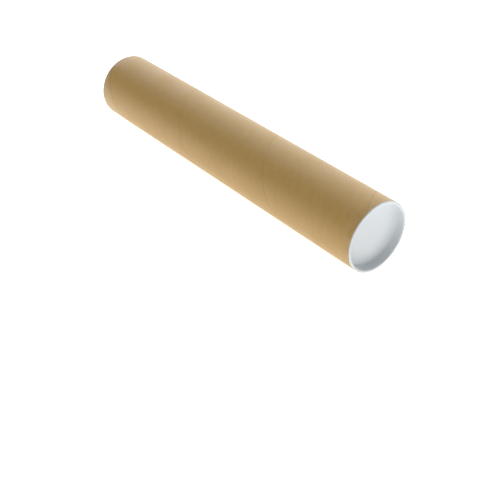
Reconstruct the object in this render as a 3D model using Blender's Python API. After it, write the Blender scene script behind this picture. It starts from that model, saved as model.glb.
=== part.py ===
# Drawing tube: a spiral-wound paperboard tube lying on its side, with a push-in plastic cap in each end.
# Metres, +Z up. The tube's axis runs along X at the height of its radius, so the tube rests on Z = 0.
# Angles round the tube are measured from +Y towards +Z.

import math

import bmesh
import bpy

# Driving dimensions
OUTER_RADIUS = 0.040
OVERALL_LENGTH = 0.4572
FACETS = 60  # flats round every turned piece; one of them faces straight down

# Spiral winding: each ply is one strip of paper wound edge to edge
WINDING_PITCH = 0.1524  # along the tube, for one turn
BUTT_GAP = 0.0003  # between a strip's own edges, along the tube
GLUE_GAP = 0.00005  # between one ply and the next
WRAP_SEAM_X = 0.1012  # where the outer wrap's seam crosses the level line on the -Y side
SEAM_STAGGER = 0.31  # how far each ply's seam is from the one outside it, as a share of the pitch
PLIES = (  # name, thickness, colour, roughness, from the outside inwards
    ("outer_wrap_ply", 0.00040, (0.434, 0.292, 0.141), 0.62),
    ("outer_core_ply", 0.00050, (0.392, 0.292, 0.187), 0.90),
    ("inner_core_ply", 0.00050, (0.371, 0.270, 0.168), 0.90),
    ("inner_liner_ply", 0.00035, (0.479, 0.352, 0.205), 0.80),
)

# End cap: a flange flush with the tube, a recessed floor, and a ribbed skirt inside the bore
CAP_COLOUR = (0.80, 0.83, 0.84)
CAP_ROUGHNESS = 0.38
FLANGE_THICKNESS = 0.0012
SEAT_GAP = 0.0002  # between a flange and the end of the tube
EDGE_ROUND = 0.0003
RIM_INNER_RADIUS = 0.0373
RECESS_DEPTH = 0.0096
RECESS_WALL_RADIUS = 0.0362  # where the recess's wall runs into its round corner
RECESS_CORNER = 0.0022
FLOOR_THICKNESS = 0.0013
SKIRT_END = 0.0165  # from the cap's outer face to the skirt's inner end
SKIRT_RADIUS = 0.0374
SKIRT_WALL = 0.0013
LAND_RADIUS = 0.0379  # the plain band behind the flange, and the tips of the ribs
RIB_TIPS = (0.0070, 0.0118)  # from the cap's outer face
RIB_RAMP = 0.0026
CORNER_STEPS = 3

TRIM_ALLOWANCE = 0.002  # how far each strip runs past the tube before it is cut square

TUBE_LENGTH = OVERALL_LENGTH - 2 * (FLANGE_THICKNESS + SEAT_GAP)


def clear_scene():
    for obj in list(bpy.data.objects):
        bpy.data.objects.remove(obj, do_unlink=True)


def make_material(name, colour, roughness):
    material = bpy.data.materials.new(name)
    material.use_nodes = True
    shader = material.node_tree.nodes["Principled BSDF"]
    shader.inputs["Base Color"].default_value = (*colour, 1.0)
    shader.inputs["Roughness"].default_value = roughness
    shader.inputs["Metallic"].default_value = 0.0
    return material


def add_object(name, mesh, parent, material):
    mesh.materials.append(material)
    obj = bpy.data.objects.new(name, mesh)
    bpy.context.scene.collection.objects.link(obj)
    obj.parent = parent
    return obj


def mesh_of(name, shape):
    bmesh.ops.recalc_face_normals(shape, faces=shape.faces)
    mesh = bpy.data.meshes.new(name)
    shape.to_mesh(mesh)
    shape.free()
    mesh.shade_smooth()
    mesh.set_sharp_from_angle(angle=math.radians(20))
    return mesh


def round_point(x, radius, angle):
    """A point that far along the tube, on the corner of a polygon whose flats touch the radius."""
    corner = radius / math.cos(math.pi / FACETS)
    return x, corner * math.cos(angle), corner * math.sin(angle)


def station_angle(station):
    return (station + 0.5) * math.tau / FACETS


# One ply: a rectangle of paper swept along a right-handed helix, running past both ends of the tube.
def ply_mesh(name, outer_radius, thickness, seam_x):
    advance = WINDING_PITCH / FACETS
    half_width = (WINDING_PITCH - BUTT_GAP) / 2
    reach = (TUBE_LENGTH + WINDING_PITCH) / 2 + TRIM_ALLOWANCE

    def middle_x(station):
        return seam_x + WINDING_PITCH * (station_angle(station) / math.tau)

    first = math.floor((-reach - middle_x(0)) / advance)
    steps = math.ceil(2 * reach / advance) + 1
    angle = station_angle(first)
    section = [
        round_point(middle_x(first) + side * half_width, radius, angle)
        for side, radius in (
            (-1, outer_radius),
            (1, outer_radius),
            (1, outer_radius - thickness),
            (-1, outer_radius - thickness),
        )
    ]
    shape = bmesh.new()
    face = shape.faces.new([shape.verts.new(point) for point in section])
    bmesh.ops.spin(
        shape,
        geom=[face, *face.edges, *face.verts],
        cent=(0, 0, 0),
        axis=(1, 0, 0),
        dvec=(advance, 0, 0),
        angle=steps * math.tau / FACETS,
        steps=steps,
    )
    return mesh_of(name, shape)


def add_trim_block(parent):
    """The block that every ply is cut back to: the tube's length, and wider than the tube."""
    shape = bmesh.new()
    bmesh.ops.create_cube(shape, size=1)
    bmesh.ops.scale(shape, vec=(TUBE_LENGTH, 3 * OUTER_RADIUS, 3 * OUTER_RADIUS), verts=shape.verts)
    mesh = bpy.data.meshes.new("trim_block")
    shape.to_mesh(mesh)
    shape.free()
    block = bpy.data.objects.new("trim_block", mesh)
    bpy.context.scene.collection.objects.link(block)
    block.parent = parent
    block.display_type = "WIRE"
    block.hide_render = True
    return block


def add_plies(parent):
    block = add_trim_block(parent)
    radius = OUTER_RADIUS
    seam_x = WRAP_SEAM_X
    for name, thickness, colour, roughness in PLIES:
        mesh = ply_mesh(name, radius, thickness, seam_x)
        ply = add_object(name, mesh, parent, make_material(name + "_paper", colour, roughness))
        cut = ply.modifiers.new("cut square", "BOOLEAN")
        cut.operation = "INTERSECT"
        cut.solver = "EXACT"
        cut.object = block
        radius -= thickness + GLUE_GAP
        seam_x -= SEAM_STAGGER * WINDING_PITCH


def corner_arc(depth, radius, size, start, end):
    """Points round a corner of that size, between two angles in degrees from outwards towards the bore."""
    angles = [math.radians(start + (end - start) * i / CORNER_STEPS) for i in range(CORNER_STEPS + 1)]
    return [(depth + size * math.sin(a), radius + size * math.cos(a)) for a in angles]


# The cap's half section as (depth from the outer face, radius), from the recess's floor round to the inner cup.
def cap_profile():
    floor_back = RECESS_DEPTH + FLOOR_THICKNESS
    cup_radius = SKIRT_RADIUS - SKIRT_WALL
    points = [(RECESS_DEPTH, 0.0)]
    corner = (RECESS_DEPTH - RECESS_CORNER, RECESS_WALL_RADIUS - RECESS_CORNER)
    points += corner_arc(*corner, RECESS_CORNER, 90, 0)
    points += [(0.0, RIM_INNER_RADIUS), (0.0, OUTER_RADIUS - EDGE_ROUND), (EDGE_ROUND, OUTER_RADIUS)]
    points += [(FLANGE_THICKNESS, OUTER_RADIUS), (FLANGE_THICKNESS, LAND_RADIUS)]
    points += [(RIB_TIPS[0] - RIB_RAMP, LAND_RADIUS), (RIB_TIPS[0] - RIB_RAMP, SKIRT_RADIUS)]
    for tip in RIB_TIPS:
        points += [(tip, SKIRT_RADIUS), (tip, LAND_RADIUS), (tip + RIB_RAMP, SKIRT_RADIUS)]
    points += [(SKIRT_END, SKIRT_RADIUS - 2 * EDGE_ROUND), (SKIRT_END, cup_radius)]
    corner = (floor_back + RECESS_CORNER, cup_radius - RECESS_CORNER)
    points += corner_arc(*corner, RECESS_CORNER, 0, -90)
    points.append((floor_back, 0.0))
    return points


# A cap facing +X, its outer face at X = 0, turned about its own axis.
def cap_mesh():
    shape = bmesh.new()
    angle = station_angle(0)
    verts = [shape.verts.new(round_point(-depth, radius, angle)) for depth, radius in cap_profile()]
    edges = [shape.edges.new(pair) for pair in zip(verts, verts[1:])]
    bmesh.ops.spin(
        shape,
        geom=verts + edges,
        cent=(0, 0, 0),
        axis=(1, 0, 0),
        angle=math.tau,
        steps=FACETS,
        use_merge=True,
    )
    bmesh.ops.remove_doubles(shape, verts=shape.verts, dist=1e-6)
    return mesh_of("end_cap", shape)


def add_caps(parent):
    mesh = cap_mesh()
    material = make_material("white_plastic", CAP_COLOUR, CAP_ROUGHNESS)
    mesh.materials.append(material)
    for name, side in (("front_end_cap", 1), ("rear_end_cap", -1)):
        cap = bpy.data.objects.new(name, mesh)
        bpy.context.scene.collection.objects.link(cap)
        cap.parent = parent
        cap.location.x = side * OVERALL_LENGTH / 2
        cap.rotation_euler.z = 0 if side > 0 else math.pi


def main():
    clear_scene()
    axis = bpy.data.objects.new("tube_axis", None)
    bpy.context.scene.collection.objects.link(axis)
    axis.location.z = OUTER_RADIUS
    add_plies(axis)
    add_caps(axis)


main()
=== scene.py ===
import math

import bmesh
import bpy
from mathutils import Matrix, Vector


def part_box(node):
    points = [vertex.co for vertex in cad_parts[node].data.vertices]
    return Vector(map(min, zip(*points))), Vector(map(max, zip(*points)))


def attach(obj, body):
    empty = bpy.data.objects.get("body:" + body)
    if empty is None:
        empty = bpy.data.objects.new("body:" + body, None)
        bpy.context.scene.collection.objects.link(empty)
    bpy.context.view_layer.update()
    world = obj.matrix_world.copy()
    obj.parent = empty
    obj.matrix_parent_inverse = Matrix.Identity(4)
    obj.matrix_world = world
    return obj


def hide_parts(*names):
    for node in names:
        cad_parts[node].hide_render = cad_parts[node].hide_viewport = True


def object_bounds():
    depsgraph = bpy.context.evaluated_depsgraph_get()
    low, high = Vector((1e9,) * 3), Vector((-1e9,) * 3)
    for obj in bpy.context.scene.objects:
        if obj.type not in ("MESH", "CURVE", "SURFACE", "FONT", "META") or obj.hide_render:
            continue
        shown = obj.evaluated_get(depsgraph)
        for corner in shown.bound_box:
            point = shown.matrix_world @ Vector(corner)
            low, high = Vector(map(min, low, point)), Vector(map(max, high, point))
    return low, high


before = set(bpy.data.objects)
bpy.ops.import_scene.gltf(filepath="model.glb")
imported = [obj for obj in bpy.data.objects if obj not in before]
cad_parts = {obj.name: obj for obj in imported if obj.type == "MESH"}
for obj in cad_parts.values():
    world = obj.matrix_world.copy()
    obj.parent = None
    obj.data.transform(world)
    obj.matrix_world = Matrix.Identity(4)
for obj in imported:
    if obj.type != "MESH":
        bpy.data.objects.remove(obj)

# A drawing tube lying on its side: four strips of paper wound into a wall, and a white cap in each end.
# Everything is in metres. The tube's axis runs along X, and angles round it go from +Y towards +Z.
lowCorner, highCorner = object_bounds()
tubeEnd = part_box("outer_wrap_ply")[1][0]  # where the paper is cut square
axisHeight = (lowCorner.z + highCorner.z) / 2
print("frame loaded:", len(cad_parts), "nodes")


def outerRadius(node):
    low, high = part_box(node)
    return (high[2] - low[2]) / 2


def makeObject(name, shape, materials, sharpAngle=35):
    mesh = bpy.data.meshes.new(name)
    shape.to_mesh(mesh)
    shape.free()
    for material in materials:
        mesh.materials.append(material)
    mesh.shade_smooth()
    mesh.set_sharp_from_angle(angle=math.radians(sharpAngle))
    piece = bpy.data.objects.new(name, mesh)
    bpy.context.scene.collection.objects.link(piece)
    return piece


def addNode(tree, kind, place, **settings):
    node = tree.nodes.new(kind)
    node.location = (place[0] * 220, place[1] * -180)
    for setting, value in settings.items():
        setattr(node, setting, value)
    return node


def plug(tree, source, target):
    if hasattr(source, "links"):
        tree.links.new(source, target)
    else:
        target.default_value = source


def noise(tree, place, vector, scale, detail=3.0, roughness=0.5):
    node = addNode(tree, "ShaderNodeTexNoise", place)
    plug(tree, vector, node.inputs["Vector"])
    plug(tree, scale, node.inputs["Scale"])
    node.inputs["Detail"].default_value = detail
    node.inputs["Roughness"].default_value = roughness
    return node.outputs["Fac"]


def stretch(tree, place, vector, scale):
    node = addNode(tree, "ShaderNodeVectorMath", place, operation="MULTIPLY")
    plug(tree, vector, node.inputs[0])
    plug(tree, scale, node.inputs[1])
    return node.outputs["Vector"]


def remap(tree, place, value, low, high, toLow=0.0, toHigh=1.0):
    node = addNode(tree, "ShaderNodeMapRange", place)
    plug(tree, value, node.inputs["Value"])
    plug(tree, low, node.inputs["From Min"])
    plug(tree, high, node.inputs["From Max"])
    plug(tree, toLow, node.inputs["To Min"])
    plug(tree, toHigh, node.inputs["To Max"])
    return node.outputs["Result"]


def calc(tree, place, operation, *values):
    node = addNode(tree, "ShaderNodeMath", place, operation=operation)
    for value, socket in zip(values, node.inputs):
        plug(tree, value, socket)
    return node.outputs["Value"]


def blend(tree, place, share, first, second):
    node = addNode(tree, "ShaderNodeMix", place, data_type="RGBA")
    plug(tree, share, node.inputs["Factor"])
    for colour, socket in ((first, node.inputs["A"]), (second, node.inputs["B"])):
        plug(tree, colour if hasattr(colour, "links") else (*colour, 1.0), socket)
    return node.outputs["Result"]


def newGroup(name, inputs, outputs):
    group = bpy.data.node_groups.new(name, "ShaderNodeTree")
    for socketName, (kind, value) in inputs.items():
        socket = group.interface.new_socket(socketName, in_out="INPUT", socket_type="NodeSocket" + kind)
        if value is not None:
            socket.default_value = value
    for socketName, kind in outputs.items():
        group.interface.new_socket(socketName, in_out="OUTPUT", socket_type="NodeSocket" + kind)
    start = addNode(group, "NodeGroupInput", (-5, 0))
    end = addNode(group, "NodeGroupOutput", (6, 0))
    return group, start.outputs, end.inputs


def useGroup(tree, group, place, **values):
    node = addNode(tree, "ShaderNodeGroup", place, node_tree=group)
    for socketName, value in values.items():
        plug(tree, value, node.inputs[socketName])
    return node.outputs


def newMaterial(name, roughness):
    material = bpy.data.materials.new(name)
    material.use_nodes = True
    shader = material.node_tree.nodes["Principled BSDF"]
    shader.location = (1600, 0)
    shader.inputs["Roughness"].default_value = roughness
    return material, material.node_tree, shader.inputs


def bumpNormal(tree, place, height, distance, strength=1.0, under=None):
    node = addNode(tree, "ShaderNodeBump", place)
    node.inputs["Strength"].default_value = strength
    node.inputs["Distance"].default_value = distance
    plug(tree, height, node.inputs["Height"])
    if under:
        plug(tree, under, node.inputs["Normal"])
    return node.outputs["Normal"]


grainDetail = {
    "cloudStretch": (0.55, 1.0, 1.0),
    "streakStretch": (0.012, 1.0, 1.0),
    "bendScale": 420.0,  # how often the fibres bend, for each metre
    "bendReach": (0.0, 0.0016, 0.0),
    "fibreRange": (0.58, 0.74),  # the part of the noise that shows as fibre
    "fleckRange": (0.10, 0.03),  # from a fleck's edge to its core, in cells
    "cloudHeight": 0.55,
    "fibreHeight": 0.35,
    "streakHeight": 0.25,
}


# Paper seen close: clouds where the pulp is thicker, streaks along the strip, fibres and dark flecks.
# The vector is the strip laid flat, in metres, with X along its length.
def buildPaperGrain():
    group, given, made = newGroup(
        "paperGrain",
        {
            "Vector": ("Vector", None),
            "Cloud Size": ("Float", 0.006),
            "Streak Width": ("Float", 0.0016),
            "Fibre Length": ("Float", 0.0030),
            "Fibre Width": ("Float", 0.00028),
            "Fleck Size": ("Float", 0.0045),
            "Fleck Share": ("Float", 0.06),
        },
        {"Cloud": "Float", "Streak": "Float", "Fibre": "Float", "Fleck": "Float", "Height": "Float"},
    )
    vector = given["Vector"]
    cloudScale = calc(group, (-4, 0), "DIVIDE", 1.0, given["Cloud Size"])
    cloudVector = stretch(group, (-4, -1), vector, grainDetail["cloudStretch"])
    cloud = noise(group, (-3, 0), cloudVector, cloudScale, 4.0, 0.6)
    streakScale = calc(group, (-4, 2), "DIVIDE", 1.0, given["Streak Width"])
    streakVector = stretch(group, (-4, 1), vector, grainDetail["streakStretch"])
    streak = noise(group, (-3, 2), streakVector, streakScale, 3.0, 0.65)

    fibreShape = addNode(group, "ShaderNodeCombineXYZ", (-4, 4))
    plug(group, calc(group, (-5, 4), "DIVIDE", 1.0, given["Fibre Length"]), fibreShape.inputs["X"])
    plug(group, calc(group, (-5, 5), "DIVIDE", 1.0, given["Fibre Width"]), fibreShape.inputs["Y"])
    fibreShape.inputs["Z"].default_value = 1.0
    bend = addNode(group, "ShaderNodeTexNoise", (-4, 6))
    plug(group, vector, bend.inputs["Vector"])
    bend.inputs["Scale"].default_value = grainDetail["bendScale"]
    sway = addNode(group, "ShaderNodeVectorMath", (-3, 6), operation="MULTIPLY_ADD")
    plug(group, bend.outputs["Color"], sway.inputs[0])
    sway.inputs[1].default_value = grainDetail["bendReach"]
    plug(group, vector, sway.inputs[2])
    fibreVector = stretch(group, (-3, 4), sway.outputs["Vector"], fibreShape.outputs["Vector"])
    fibreField = noise(group, (-2, 4), fibreVector, 1.0, 2.0)
    fibre = remap(group, (-1, 4), fibreField, *grainDetail["fibreRange"])

    cells = addNode(group, "ShaderNodeTexVoronoi", (-3, 8))
    plug(group, stretch(group, (-4, 8), vector, grainDetail["cloudStretch"]), cells.inputs["Vector"])
    plug(group, calc(group, (-4, 9), "DIVIDE", 1.0, given["Fleck Size"]), cells.inputs["Scale"])
    pick = addNode(group, "ShaderNodeSeparateColor", (-2, 8))
    plug(group, cells.outputs["Color"], pick.inputs[0])
    chosen = calc(group, (-1, 8), "LESS_THAN", pick.outputs["Red"], given["Fleck Share"])
    nearCentre = remap(group, (-1, 9), cells.outputs["Distance"], *grainDetail["fleckRange"])
    fleck = calc(group, (0, 8), "MULTIPLY", chosen, nearCentre)

    height = calc(group, (1, 2), "MULTIPLY", cloud, grainDetail["cloudHeight"])
    height = calc(group, (2, 2), "MULTIPLY_ADD", fibreField, grainDetail["fibreHeight"], height)
    height = calc(group, (3, 2), "MULTIPLY_ADD", streak, grainDetail["streakHeight"], height)
    for socketName, value in (("Cloud", cloud), ("Streak", streak), ("Fibre", fibre), ("Fleck", fleck)):
        plug(group, value, made[socketName])
    plug(group, height, made["Height"])
    return group


handlingDetail = {
    "patchRange": (0.38, 0.66),
    "hairlineAngles": (0.4, 1.9, 2.7),
    "hairlineStretch": (0.06, 1.0, 0.06),
    "hairlineRange": (0.71, 0.76),
}


# Rub marks from handling: broad dull patches, and fine hairlines that run every way.
def buildHandling():
    group, given, made = newGroup(
        "handlingMarks",
        {
            "Vector": ("Vector", None),
            "Patch Size": ("Float", 0.05),
            "Hairline Size": ("Float", 0.004),
        },
        {"Patch": "Float", "Hairline": "Float"},
    )
    vector = given["Vector"]
    patchScale = calc(group, (-4, 0), "DIVIDE", 1.0, given["Patch Size"])
    patchField = noise(group, (-3, 0), vector, patchScale, 4.0, 0.6)
    patch = remap(group, (-2, 0), patchField, *handlingDetail["patchRange"])
    lineScale = calc(group, (-4, 2), "DIVIDE", 1.0, given["Hairline Size"])
    total = None
    for turn, angle in enumerate(handlingDetail["hairlineAngles"]):
        row = 2 + 2 * turn
        rotate = addNode(group, "ShaderNodeVectorRotate", (-4, row), rotation_type="Z_AXIS")
        plug(group, vector, rotate.inputs["Vector"])
        rotate.inputs["Angle"].default_value = angle
        thin = stretch(group, (-3, row), rotate.outputs["Vector"], handlingDetail["hairlineStretch"])
        lineField = noise(group, (-2, row), thin, lineScale, 1.0)
        line = remap(group, (-1, row), lineField, *handlingDetail["hairlineRange"])
        total = line if total is None else calc(group, (turn, row), "MAXIMUM", total, line)
    plug(group, patch, made["Patch"])
    plug(group, total, made["Hairline"])
    return group


hazeRange = (0.35, 0.68)


# Moulded polythene: slow ripples from the mould, a fine matt grain, and haze that gathers in patches.
def buildMouldedSkin():
    group, given, made = newGroup(
        "mouldedSkin",
        {
            "Vector": ("Vector", None),
            "Ripple Size": ("Float", 0.020),
            "Grain Size": ("Float", 0.0005),
        },
        {"Haze": "Float", "Ripple": "Float", "Grain": "Float"},
    )
    vector = given["Vector"]
    rippleScale = calc(group, (-4, 0), "DIVIDE", 1.0, given["Ripple Size"])
    ripple = noise(group, (-3, 0), vector, rippleScale, 1.5)
    hazeField = noise(group, (-3, 1), vector, rippleScale, 5.0, 0.65)
    haze = remap(group, (-2, 1), hazeField, *hazeRange)
    grainScale = calc(group, (-4, 3), "DIVIDE", 1.0, given["Grain Size"])
    grain = noise(group, (-3, 3), vector, grainScale, 2.0, 0.6)
    for socketName, value in (("Haze", haze), ("Ripple", ripple), ("Grain", grain)):
        plug(group, value, made[socketName])
    return group


paperGrain = buildPaperGrain()
handlingMarks = buildHandling()
mouldedSkin = buildMouldedSkin()
print("shared shader effects built")


# In each look, seam is the colour of the painted shade along the seam between strips.
kraftLook = {
    "deep": (0.516, 0.319, 0.095),
    "pale": (0.572, 0.358, 0.114),
    "fibre": (0.660, 0.480, 0.230),
    "fleck": (0.190, 0.105, 0.040),
    "seam": (0.300, 0.175, 0.055),
    "edge": (0.560, 0.400, 0.200),
    "roughness": 0.47,
    "gloss": 0.38,
    "sheen": 0.18,
    "relief": 0.00006,
}
coreLook = {
    "deep": (0.300, 0.215, 0.130),
    "pale": (0.420, 0.320, 0.210),
    "fibre": (0.560, 0.470, 0.350),
    "fleck": (0.120, 0.085, 0.055),
    "seam": (0.230, 0.165, 0.100),
    "edge": (0.470, 0.370, 0.250),
    "roughness": 0.88,
    "gloss": 0.30,
    "sheen": 0.10,
    "relief": 0.00010,
}
linerLook = {
    "deep": (0.400, 0.275, 0.145),
    "pale": (0.510, 0.375, 0.220),
    "fibre": (0.610, 0.480, 0.320),
    "fleck": (0.150, 0.095, 0.050),
    "seam": (0.270, 0.180, 0.090),
    "edge": (0.500, 0.390, 0.260),
    "roughness": 0.78,
    "gloss": 0.35,
    "sheen": 0.10,
    "relief": 0.00007,
}


paperFinish = {  # how far each effect shows on any of the papers
    "cloudRange": (0.25, 0.75),
    "streakRange": (0.40, 0.75),
    "streakShare": 0.22,
    "fibreShare": 0.30,
    "fleckShare": 0.55,
    "wearRange": (0.35, 0.62),
    "wearShare": 0.75,
    "seamShadeShare": 0.30,
    "patchDull": 0.08,  # added roughness
    "cloudDull": 0.10,
    "leastRoughness": 0.1,
    "sheenRoughness": 0.45,
}
sawnEnd = {
    "roughness": 0.92,
    "fuzzScale": 2600.0,
    "fuzzRange": (0.30, 0.70),
    "burrScale": 500.0,
    "burrRange": (0.40, 0.80),
    "burrShare": 0.5,
    "relief": 0.00012,
}


def paperMaterial(name, look):
    material, tree, shader = newMaterial(name, look["roughness"])
    flat = addNode(tree, "ShaderNodeUVMap", (-3, 0), uv_map="stripFlat").outputs["UV"]
    grain = useGroup(tree, paperGrain, (-2, 0), Vector=flat)
    marks = useGroup(tree, handlingMarks, (-2, 2), Vector=flat)
    wear = addNode(tree, "ShaderNodeAttribute", (-2, 4), attribute_name="endWear").outputs["Fac"]
    seamShadeMask = addNode(tree, "ShaderNodeAttribute", (-2, 5), attribute_name="seamShade").outputs["Fac"]

    cloudShare = remap(tree, (-1, 0), grain["Cloud"], *paperFinish["cloudRange"])
    colour = blend(tree, (0, 0), cloudShare, look["deep"], look["pale"])
    streakLow, streakHigh = paperFinish["streakRange"]
    streakMost = paperFinish["streakShare"]
    streakShare = remap(tree, (0, 1), grain["Streak"], streakLow, streakHigh, 0.0, streakMost)
    colour = blend(tree, (1, 0), streakShare, colour, look["deep"])
    fibreShare = calc(tree, (1, 1), "MULTIPLY", grain["Fibre"], paperFinish["fibreShare"])
    colour = blend(tree, (2, 0), fibreShare, colour, look["fibre"])
    fleckShare = calc(tree, (2, 1), "MULTIPLY", grain["Fleck"], paperFinish["fleckShare"])
    colour = blend(tree, (3, 0), fleckShare, colour, look["fleck"])
    wornPulp = remap(tree, (1, 3), grain["Cloud"], *paperFinish["wearRange"])
    brokenWear = calc(tree, (2, 3), "MULTIPLY", wear, wornPulp)
    wearShare = calc(tree, (3, 3), "MULTIPLY", brokenWear, paperFinish["wearShare"])
    colour = blend(tree, (4, 0), wearShare, colour, look["edge"])
    # Painted shade: the paper is darkened along the seam, where the gap between strips would shade it.
    seamShadeAmount = calc(tree, (4, 3), "MULTIPLY", seamShadeMask, paperFinish["seamShadeShare"])
    colour = blend(tree, (5, 0), seamShadeAmount, colour, look["seam"])
    plug(tree, colour, shader["Base Color"])

    patchDull = paperFinish["patchDull"]
    cloudDull = paperFinish["cloudDull"]
    middleRoughness = look["roughness"] - (patchDull + cloudDull) / 2  # keeps the average at the look's own
    rough = calc(tree, (3, 5), "MULTIPLY_ADD", marks["Patch"], patchDull, middleRoughness)
    rough = calc(tree, (4, 5), "MULTIPLY_ADD", grain["Cloud"], cloudDull, rough)
    plug(tree, calc(tree, (5, 5), "MAXIMUM", rough, paperFinish["leastRoughness"]), shader["Roughness"])
    shader["Specular IOR Level"].default_value = look["gloss"]
    shader["Sheen Weight"].default_value = look["sheen"]
    shader["Sheen Roughness"].default_value = paperFinish["sheenRoughness"]
    plug(tree, bumpNormal(tree, (5, 3), grain["Height"], look["relief"]), shader["Normal"])
    return material


# The sawn end of the wall: pulp torn across, paler and rougher than the faces.
def cutEdgeMaterial(name, look):
    material, tree, shader = newMaterial(name, sawnEnd["roughness"])
    place = addNode(tree, "ShaderNodeTexCoord", (-3, 0)).outputs["Object"]
    fuzz = noise(tree, (-2, 0), place, sawnEnd["fuzzScale"], 4.0, 0.7)
    burr = noise(tree, (-2, 1), place, sawnEnd["burrScale"], 2.0, 0.6)
    fuzzShare = remap(tree, (-1, 0), fuzz, *sawnEnd["fuzzRange"])
    colour = blend(tree, (0, 0), fuzzShare, look["deep"], look["edge"])
    burrShare = remap(tree, (0, 1), burr, *sawnEnd["burrRange"], 0.0, sawnEnd["burrShare"])
    colour = blend(tree, (1, 0), burrShare, colour, look["fibre"])
    plug(tree, colour, shader["Base Color"])
    height = calc(tree, (1, 2), "ADD", fuzz, burr)
    plug(tree, bumpNormal(tree, (2, 2), height, sawnEnd["relief"]), shader["Normal"])
    return material


winding = {
    "pitch": 0.1524,  # along the tube, for one turn
    "seamX": 0.1012,  # where the wrap's seam crosses the level line on the -Y side
    "stagger": 0.31,  # each ply's seam against the one outside it, as a share of the pitch
    "stations": 240,  # steps in one turn
    "spare": 0.002,  # how far a strip runs past the tube before it is cut square
    "pressReach": 0.0020,  # how far in from a strip's edge the paper is pressed
    "wearReach": 0.0025,  # how far in from a sawn end the paper is worn
    "seamShadeReach": 0.0004,  # how far each side of the seam the painted shade reaches
}
kraftWrap = {
    "node": "outer_wrap_ply",
    "slot": "kraft_paper",
    "look": kraftLook,
    "thickness": 0.00040,
    "gap": 0.00012,  # left open along the seam
    "edgeRound": 0.00010,
    "edgePress": 0.00003,  # how far the strip's edges are pressed in
    "outerEase": 0.00018,  # rounding of the sawn end's outer corner
    "innerEase": 0.0,
}
outerCoreStrip = {
    "node": "outer_core_ply",
    "slot": "core_board",
    "look": coreLook,
    "thickness": 0.00050,
    "gap": 0.00040,
    "edgeRound": 0.00006,
    "edgePress": 0.0,
    "outerEase": 0.0,
    "innerEase": 0.0,
}
innerCoreStrip = {
    "node": "inner_core_ply",
    "slot": "core_board",
    "look": coreLook,
    "thickness": 0.00050,
    "gap": 0.00040,
    "edgeRound": 0.00006,
    "edgePress": 0.0,
    "outerEase": 0.0,
    "innerEase": 0.0,
}
linerStrip = {
    "node": "inner_liner_ply",
    "slot": "liner_paper",
    "look": linerLook,
    "thickness": 0.00035,
    "gap": 0.00040,
    "edgeRound": 0.00008,
    "edgePress": 0.0,
    "outerEase": 0.0,
    "innerEase": 0.00016,
}
wallStrips = {  # from the outside inwards
    "kraftWrap": kraftWrap,
    "outerCoreStrip": outerCoreStrip,
    "innerCoreStrip": innerCoreStrip,
    "linerStrip": linerStrip,
}


# The strip's cross-section as (distance across from its middle, height above its inner face):
# a small round on each edge, then a slope up from the pressed edge to the full thickness.
def stripSection(ply):
    half = (winding["pitch"] - ply["gap"]) / 2
    top = ply["thickness"]
    ease = ply["edgeRound"]
    press = ply["edgePress"]
    pressReach = winding["pressReach"]
    rightSide = [(half - ease, 0.0), (half - ease * 0.3, ease * 0.3), (half, ease)]
    for turn in (0, 30, 60, 90):
        angle = math.radians(turn)
        across = half - ease * (1 - math.cos(angle))
        rightSide.append((across, top - press - ease * (1 - math.sin(angle))))
    rightSide += [(half - pressReach * 0.4, top - press * 0.35), (half - pressReach, top)]
    middle = [(half * share, top) for share in (0.6, 0.2, -0.2, -0.6)]
    leftSide = [(-across, height) for across, height in reversed(rightSide)]
    under = [(half * share, 0.0) for share in (-0.6, -0.2, 0.2, 0.6)]
    return rightSide + middle + leftSide + under


# Where a point of the wound strip lies when the strip is laid flat.
def flatPoint(angle, x, radius):
    lean = math.atan2(winding["pitch"], math.tau * radius)
    arcLength = angle * radius
    return (
        arcLength * math.cos(lean) + x * math.sin(lean),
        x * math.cos(lean) - arcLength * math.sin(lean),
    )


def windStrip(shape, ply, outer, seamX):
    flatLayer = shape.loops.layers.uv.new("stripFlat")
    section = stripSection(ply)
    inner = outer - ply["thickness"]
    reach = tubeEnd + winding["pitch"] / 2 + winding["spare"]
    step = math.tau / winding["stations"]
    advance = winding["pitch"] / winding["stations"]
    firstAngle = -math.tau * (reach + seamX) / winding["pitch"]
    rows = []
    for station in range(math.ceil(2 * reach / advance) + 1):
        angle = firstAngle + station * step
        middleX = seamX + winding["pitch"] * angle / math.tau
        row = []
        for across, height in section:
            x = middleX + across
            radius = inner + height
            vert = shape.verts.new((x, radius * math.cos(angle), radius * math.sin(angle)))
            row.append((vert, flatPoint(angle, x, outer)))
        rows.append(row)
    count = len(section)
    for before, after in zip(rows, rows[1:]):
        for i in range(count):
            j = (i + 1) % count
            corners = (before[i], before[j], after[j], after[i])
            face = shape.faces.new([vert for vert, flat in corners])
            for loop, (vert, flat) in zip(face.loops, corners):
                loop[flatLayer].uv = flat
    for row in (rows[0], rows[-1]):
        shape.faces.new([vert for vert, flat in row])


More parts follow.
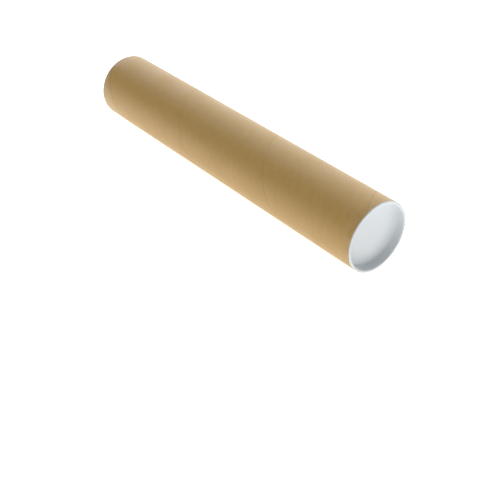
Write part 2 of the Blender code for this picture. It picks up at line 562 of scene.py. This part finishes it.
# Cuts the strip square at both ends, fills the cuts, and eases their corners.
def trimStrip(shape, ply, outer):
    inner = outer - ply["thickness"]
    ease = max(ply["outerEase"], ply["innerEase"])
    for side in (-1, 1):
        for inset in (ease, ease * 0.45, ease * 0.12) if ease else ():  # rings for the eased corner
            everything = [*shape.verts, *shape.edges, *shape.faces]
            bmesh.ops.bisect_plane(
                shape, geom=everything, dist=1e-7,
                plane_co=(side * (tubeEnd - inset), 0, 0), plane_no=(side, 0, 0),
            )
        everything = [*shape.verts, *shape.edges, *shape.faces]
        cut = bmesh.ops.bisect_plane(
            shape, geom=everything, dist=1e-7, clear_outer=True,
            plane_co=(side * tubeEnd, 0, 0), plane_no=(side, 0, 0),
        )
        rim = [item for item in cut["geom_cut"] if isinstance(item, bmesh.types.BMEdge)]
        filled = bmesh.ops.triangle_fill(shape, use_beauty=True, use_dissolve=False, edges=rim)
        for item in filled["geom"]:
            if isinstance(item, bmesh.types.BMFace):
                item.material_index = 1
    for vert in shape.verts:
        fromEnd = tubeEnd - abs(vert.co.x)
        if not ease or fromEnd > ease:
            continue
        radius = math.hypot(vert.co.y, vert.co.z)
        drop = ease - math.sqrt(max(0.0, ease**2 - (ease - fromEnd) ** 2))
        if ply["outerEase"] and radius > outer - ply["thickness"] * 0.4:
            wanted = radius - drop
        elif ply["innerEase"] and radius < inner + ply["thickness"] * 0.4:
            wanted = radius + drop
        else:
            continue
        vert.co.y *= wanted / radius
        vert.co.z *= wanted / radius


# Marks the points that are worn, at the sawn ends, and those that get painted shade, along the seam.
def markSurface(shape, seamX):
    wearLayer = shape.verts.layers.float.new("endWear")
    shadeLayer = shape.verts.layers.float.new("seamShade")
    for vert in shape.verts:
        fromEnd = tubeEnd - abs(vert.co.x)
        angle = math.atan2(vert.co.z, vert.co.y)
        turns = (vert.co.x - seamX) / winding["pitch"] - angle / math.tau
        fromSeam = abs(turns - round(turns)) * winding["pitch"]
        vert[wearLayer] = max(0.0, 1.0 - fromEnd / winding["wearReach"])
        vert[shadeLayer] = 1.0 if fromSeam < winding["seamShadeReach"] else 0.0


def buildPly(name, ply, seamX):
    outer = outerRadius(ply["node"])
    shape = bmesh.new()
    windStrip(shape, ply, outer, seamX)
    trimStrip(shape, ply, outer)
    markSurface(shape, seamX + winding["pitch"] / 2)
    bmesh.ops.recalc_face_normals(shape, faces=shape.faces)
    bmesh.ops.translate(shape, vec=(0, 0, axisHeight), verts=shape.verts)
    face = paperMaterial(name + "Paper", ply["look"])
    sawn = cutEdgeMaterial(name + "SawnEnd", ply["look"])
    piece = makeObject(name, shape, [face, sawn])
    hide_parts(ply["node"])
    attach(piece, "tube")


seamX = winding["seamX"]
for stripName, strip in wallStrips.items():
    buildPly(stripName, strip, seamX)
    seamX -= winding["stagger"] * winding["pitch"]
print("wall wound from", len(wallStrips), "strips")


capShape = {
    "flangeThickness": 0.0012,
    "rimInner": 0.0372,
    "rimRound": 0.0009,
    "recessDepth": 0.0096,
    "recessWall": 0.0362,
    "recessCorner": 0.0022,
    "floorThickness": 0.0013,
    "floorDome": 0.0002,  # how far the floor's middle stands out
    "floorRings": 9,
    "skirtEnd": 0.0165,
    "skirtRadius": 0.0374,
    "skirtWall": 0.0013,
    "landRadius": 0.0379,
    "flangeRound": 0.00015,  # rounding of the flange's inner corner
    "landStep": 0.0002,  # bevels of the plain band
    "ribTips": (0.0070, 0.0118),
    "ribRamp": 0.0026,  # from a rib's tip back down to the skirt
    "ribRise": 0.0002,  # the steep side of a rib
    "ribBlunt": 0.00012,  # bevel on a rib's tip
    "ribTop": 0.0005,  # where the ramp starts, and how far it has dropped there
    "ribTopDrop": 0.00008,
    "skirtRound": 0.0005,  # rounding of the skirt's end, on the bore's side
    "skirtInnerRound": 0.0003,
    "gateRadius": 0.0016,  # the stub where the plastic was fed in, on the back of the floor
    "gateHeight": 0.0005,
    "segments": 240,
}
capLook = {
    "body": (0.730, 0.770, 0.782),
    "haze": (0.700, 0.745, 0.760),
    "roughness": 0.36,
    "grainRelief": 0.00001,
    "rippleRelief": 0.00012,
    "hazeShare": 0.5,
    "hazeDull": 0.08,
    "hairlineDull": 0.16,
    "patchSize": 0.02,
    "hairlineSize": 0.0022,
    "rippleStrength": 0.6,
    "ior": 1.51,
    "translucence": 0.60,
    "tintInside": (1.0, 1.0, 0.9),
    "depth": 0.0036,  # how far light travels inside
}


def arc(depth, radius, size, start, end, steps):
    points = []
    for i in range(steps + 1):
        angle = math.radians(start + (end - start) * i / steps)
        points.append((depth + size * math.sin(angle), radius + size * math.cos(angle)))
    return points


# Half of the cap's section as (depth from the outer face, radius), from the recess's floor to the back.
def capSection(cap, flangeRadius):
    rimRound = cap["rimRound"]
    cupRadius = cap["skirtRadius"] - cap["skirtWall"]
    corner = cap["recessCorner"]
    floorBack = cap["recessDepth"] + cap["floorThickness"]
    floorEdge = cap["recessWall"] - corner
    points = []
    for i in range(cap["floorRings"]):  # the floor, bowed out a little in the middle
        share = i / cap["floorRings"]
        points.append((cap["recessDepth"] - cap["floorDome"] * (1 - share**2), floorEdge * share))
    points += arc(cap["recessDepth"] - corner, floorEdge, corner, 90, 0, 12)
    points += arc(rimRound, cap["rimInner"] + rimRound, -rimRound, 0, 90, 5)
    points += arc(rimRound, flangeRadius - rimRound, rimRound, -90, 0, 6)
    under = cap["flangeThickness"]
    flangeRound = cap["flangeRound"]
    points += arc(under - flangeRound, flangeRadius - flangeRound, flangeRound, 0, 90, 3)
    step = cap["landStep"]
    points += [(under, cap["landRadius"] + step), (under + step, cap["landRadius"])]
    landEnd = cap["ribTips"][0] - cap["ribRamp"]
    points += [(landEnd - step, cap["landRadius"]), (landEnd, cap["landRadius"] - step)]
    points += [(landEnd + step / 2, cap["skirtRadius"])]
    for tip in cap["ribTips"]:  # a blunt tip, then a long ramp back to the skirt
        blunt = cap["ribBlunt"]
        points += [(tip - cap["ribRise"], cap["skirtRadius"]), (tip, cap["landRadius"] - blunt)]
        points += [(tip + blunt, cap["landRadius"])]
        points += [(tip + cap["ribTop"], cap["landRadius"] - cap["ribTopDrop"])]
        points += [(tip + cap["ribRamp"], cap["skirtRadius"])]
    end = cap["skirtEnd"]
    outerRound = cap["skirtRound"]
    innerRound = cap["skirtInnerRound"]
    points += arc(end - outerRound, cap["skirtRadius"] - outerRound, outerRound, 0, 90, 5)
    points += arc(end - innerRound, cupRadius + innerRound, -innerRound, -90, 0, 4)
    points += arc(floorBack + corner, cupRadius - corner, corner, 0, -90, 10)
    gate = cap["gateRadius"]  # a low stub with eased sides and a dished top
    points += [(floorBack, gate * 4), (floorBack, gate * 1.3), (floorBack + 0.0001, gate)]
    points += [(floorBack + cap["gateHeight"], gate * 0.85), (floorBack + cap["gateHeight"], gate * 0.4)]
    points.append((floorBack + cap["gateHeight"] * 0.7, 0.0))
    return points


def turnSection(shape, section, segments):
    rings = []
    for depth, radius in section:
        if radius < 1e-7:
            rings.append([shape.verts.new((-depth, 0, 0))])
            continue
        ring = []
        for i in range(segments):
            angle = math.tau * i / segments
            ring.append(shape.verts.new((-depth, radius * math.cos(angle), radius * math.sin(angle))))
        rings.append(ring)
    for first, second in zip(rings, rings[1:]):
        for i in range(segments):
            j = (i + 1) % segments
            corners = [first[i % len(first)], first[j % len(first)]]
            corners += [second[j % len(second)], second[i % len(second)]]
            shape.faces.new(list(dict.fromkeys(corners)))  # a ring of one point gives triangles


def plasticMaterial():
    material, tree, shader = newMaterial("whitePolythene", capLook["roughness"])
    place = addNode(tree, "ShaderNodeTexCoord", (-3, 0)).outputs["Object"]
    skin = useGroup(tree, mouldedSkin, (-2, 0), Vector=place)
    sizes = {"Patch Size": capLook["patchSize"], "Hairline Size": capLook["hairlineSize"]}
    marks = useGroup(tree, handlingMarks, (-2, 2), Vector=place, **sizes)
    hazeShare = calc(tree, (-1, 0), "MULTIPLY", skin["Haze"], capLook["hazeShare"])
    plug(tree, blend(tree, (0, 0), hazeShare, capLook["body"], capLook["haze"]), shader["Base Color"])
    hazeDull = capLook["hazeDull"]
    middleRoughness = capLook["roughness"] - hazeDull / 2
    rough = calc(tree, (0, 2), "MULTIPLY_ADD", skin["Haze"], hazeDull, middleRoughness)
    rough = calc(tree, (1, 2), "MULTIPLY_ADD", marks["Hairline"], capLook["hairlineDull"], rough)
    plug(tree, rough, shader["Roughness"])
    shader["Subsurface Weight"].default_value = capLook["translucence"]
    shader["Subsurface Radius"].default_value = capLook["tintInside"]
    shader["Subsurface Scale"].default_value = capLook["depth"]
    shader["IOR"].default_value = capLook["ior"]
    waves = bumpNormal(tree, (2, 4), skin["Ripple"], capLook["rippleRelief"], capLook["rippleStrength"])
    fine = bumpNormal(tree, (3, 4), skin["Grain"], capLook["grainRelief"], under=waves)
    plug(tree, fine, shader["Normal"])
    return material


def buildCap(name, node, body, side, material):
    low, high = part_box(node)
    shape = bmesh.new()
    turnSection(shape, capSection(capShape, outerRadius(node)), capShape["segments"])
    bmesh.ops.recalc_face_normals(shape, faces=shape.faces)
    if side < 0:
        halfTurn = Matrix.Rotation(math.pi, 3, "Z")
        bmesh.ops.rotate(shape, verts=shape.verts, cent=(0, 0, 0), matrix=halfTurn)
    face = high[0] if side > 0 else low[0]
    bmesh.ops.translate(shape, vec=(face, 0, axisHeight), verts=shape.verts)
    piece = makeObject(name, shape, [material], 40)
    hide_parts(node)
    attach(piece, body)


polythene = plasticMaterial()
buildCap("frontPlug", "front_end_cap", "front_cap", 1, polythene)
buildCap("rearPlug", "rear_end_cap", "rear_cap", -1, polythene)
print("both caps turned")


studio = {
    "floorReach": 30.0,
    "floorColour": (0.85, 0.85, 0.85),
    "floorRoughness": 0.9,
    "floorGloss": 0.1,
    "floorGlow": 0.86,
    "fill": 0.05,  # light that comes from everywhere
    "white": (1.0, 1.0, 1.0, 1.0),
    "backdrop": 1.0,  # how bright the tent's wall looks where it shows behind the floor
}
tentPanels = {  # soft bright areas: where each lies, its light, and its edges in degrees from its middle
    "rearPanel": {"towards": (0.0, 0.80, 0.60), "light": 0.12, "inner": 8, "outer": 62},
    "farPanel": {"towards": (-0.55, 0.60, 0.58), "light": 2.15, "inner": 8, "outer": 62},
    "capPanel": {"towards": (0.95, 0.20, 0.20), "light": 0.30, "inner": 8, "outer": 62},
    "lowPanel": {"towards": (0.75, -0.65, 0.10), "light": 0.58, "inner": 8, "outer": 62},
}
camera = {
    "place": (0.7283, -0.5690, 0.5527),
    "azimuth": 51.03,  # 0 looks along +Y
    "elevation": 35.26,
    "lens": 65.25,
}


def buildFloor():
    shape = bmesh.new()
    bmesh.ops.create_grid(shape, x_segments=8, y_segments=8, size=studio["floorReach"] / 2)
    material, tree, shader = newMaterial("palePaperFloor", studio["floorRoughness"])
    shader["Base Color"].default_value = (*studio["floorColour"], 1.0)
    shader["Specular IOR Level"].default_value = studio["floorGloss"]
    shader["Emission Color"].default_value = studio["white"]
    shader["Emission Strength"].default_value = studio["floorGlow"]
    floor = makeObject("studioFloor", shape, [material])
    floor.location.z = lowCorner.z


def buildTent():
    world = bpy.data.worlds.new("whiteTent")
    bpy.context.scene.world = world
    world.use_nodes = True
    tree = world.node_tree
    direction = addNode(tree, "ShaderNodeTexCoord", (-5, 0)).outputs["Generated"]
    total = studio["fill"]
    for row, panel in enumerate(tentPanels.values()):
        facing = addNode(tree, "ShaderNodeVectorMath", (-4, row), operation="DOT_PRODUCT")
        plug(tree, direction, facing.inputs[0])
        facing.inputs[1].default_value = Vector(panel["towards"]).normalized()
        fade = addNode(tree, "ShaderNodeMapRange", (-3, row), interpolation_type="SMOOTHSTEP")
        plug(tree, facing.outputs["Value"], fade.inputs["Value"])
        fade.inputs["From Min"].default_value = math.cos(math.radians(panel["outer"]))
        fade.inputs["From Max"].default_value = math.cos(math.radians(panel["inner"]))
        fade.inputs["To Max"].default_value = panel["light"]
        total = calc(tree, (row - 2, 0), "ADD", fade.outputs["Result"], total)
    seen = addNode(tree, "ShaderNodeLightPath", (2, -2)).outputs["Is Camera Ray"]
    strength = remap(tree, (4, 0), seen, 0.0, 1.0, total, studio["backdrop"])
    plug(tree, strength, tree.nodes["Background"].inputs["Strength"])
    tree.nodes["Background"].inputs["Color"].default_value = studio["white"]


def addCamera():
    data = bpy.data.cameras.new("studioCamera")
    data.lens = camera["lens"]
    eye = bpy.data.objects.new("studioCamera", data)
    bpy.context.scene.collection.objects.link(eye)
    eye.location = camera["place"]
    eye.rotation_euler = (math.radians(90 - camera["elevation"]), 0, math.radians(camera["azimuth"]))
    bpy.context.scene.camera = eye


buildFloor()
buildTent()
addCamera()
bpy.context.scene.view_settings.view_transform = "Standard"
print("studio set up")
